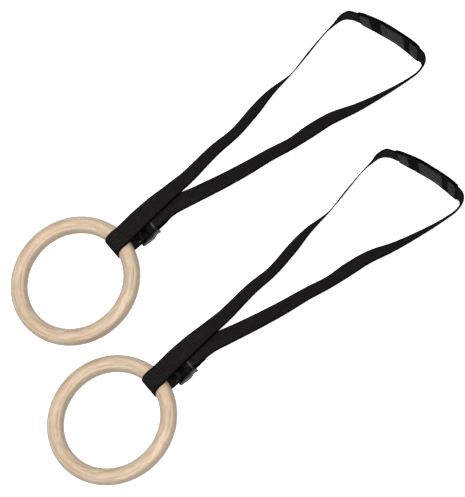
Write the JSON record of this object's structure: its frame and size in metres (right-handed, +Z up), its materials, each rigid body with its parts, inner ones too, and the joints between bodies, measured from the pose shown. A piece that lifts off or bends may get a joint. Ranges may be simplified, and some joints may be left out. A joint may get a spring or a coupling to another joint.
{
  "type": "gymnastics rings",
  "caption": "Pair of wooden gymnastics rings, each on a looped black webbing strap with a cam buckle and a padded wear sleeve.",
  "frame": {"origin": "middle of the pair's outline, on the surface it lies on", "axes": "+X runs along the straps from the rings towards the wear sleeves, +Y runs across the pair towards the left set, +Z up"},
  "size_m": [0.946, 0.503, 0.0465],
  "materials": {
    "birch": "satin, clear sealed",
    "webbing": "matt woven",
    "thread": "bonded thread",
    "buckle_coat": "gloss black coat",
    "pin_steel": "blackened",
    "sleeve_cloth": "dense matt cloth",
    "grip_rubber": "matt"
  },
  "bodies": {
    "left_strap": {"left_strap_loop": "webbing", "left_strap_tail": "webbing", "left_end_stitching": "thread", "left_buckle_frame": "buckle_coat", "left_cam_pin": "pin_steel", "left_webbing_bar": "pin_steel", "left_cam_spring": "pin_steel"},
    "left_bight": {"left_strap_bight": "webbing"},
    "left_hand_ring": {"left_ring": "birch"},
    "left_lever": {"left_cam_lever": "buckle_coat"},
    "left_sleeve": {"left_wear_sleeve": "sleeve_cloth", "left_grip_panel_far": "grip_rubber", "left_grip_panel_middle": "grip_rubber", "left_grip_panel_near": "grip_rubber"},
    "right_strap": {"right_strap_loop": "webbing", "right_strap_tail": "webbing", "right_end_stitching": "thread", "right_buckle_frame": "buckle_coat", "right_cam_pin": "pin_steel", "right_webbing_bar": "pin_steel", "right_cam_spring": "pin_steel"},
    "right_bight": {"right_strap_bight": "webbing"},
    "right_hand_ring": {"right_ring": "birch"},
    "right_lever": {"right_cam_lever": "buckle_coat"},
    "right_sleeve": {"right_wear_sleeve": "sleeve_cloth", "right_grip_panel_far": "grip_rubber", "right_grip_panel_middle": "grip_rubber", "right_grip_panel_near": "grip_rubber"}
  },
  "joints": [
    {"name": "left_ring_swing", "type": "hinge", "parent": "left_strap", "child": "left_bight", "pos_m": [-0.14528, 0.13196, 0.01887], "axis": [0, 1, 0], "range_deg": [0, 120], "deforming": ["left_strap_bight"]},
    {"name": "left_ring_spin", "type": "hinge", "parent": "left_bight", "child": "left_hand_ring", "pos_m": [-0.24703, 0.13346, 0.01702], "axis": [-0.018, 0, 0.9998], "continuous": true},
    {"name": "left_lever_press", "type": "hinge", "parent": "left_strap", "child": "left_lever", "pos_m": [-0.10003, 0.12946, 0.00907], "axis": [0, -1, 0], "range_deg": [0, 20], "stiffness_Nm_per_rad": 0.15, "springref_deg": -20.05},
    {"name": "left_sleeve_slide", "type": "hinge", "parent": "left_strap", "child": "left_sleeve", "pos_m": [0.08617, -0.00844, 0.02007], "axis": [0, 0, -1], "range_deg": [-0.9, 0.9]},
    {"name": "right_ring_swing", "type": "hinge", "parent": "right_strap", "child": "right_bight", "pos_m": [-0.25328, -0.11704, 0.01887], "axis": [0, 1, 0], "range_deg": [0, 120], "deforming": ["right_strap_bight"]},
    {"name": "right_ring_spin", "type": "hinge", "parent": "right_bight", "child": "right_hand_ring", "pos_m": [-0.35503, -0.11554, 0.01702], "axis": [-0.018, 0, 0.9998], "continuous": true},
    {"name": "right_lever_press", "type": "hinge", "parent": "right_strap", "child": "right_lever", "pos_m": [-0.20803, -0.11954, 0.00907], "axis": [0, -1, 0], "range_deg": [0, 20], "stiffness_Nm_per_rad": 0.15, "springref_deg": -20.05},
    {"name": "right_sleeve_slide", "type": "hinge", "parent": "right_strap", "child": "right_sleeve", "pos_m": [-0.02183, -0.25744, 0.02007], "axis": [0, 0, -1], "range_deg": [-0.9, 0.9]},
    {"name": "right_set_spacing", "type": "slide", "parent": "left_strap", "child": "right_strap", "axis": [0, -1, 0], "range_m": [0, 0.251]}
  ]
}
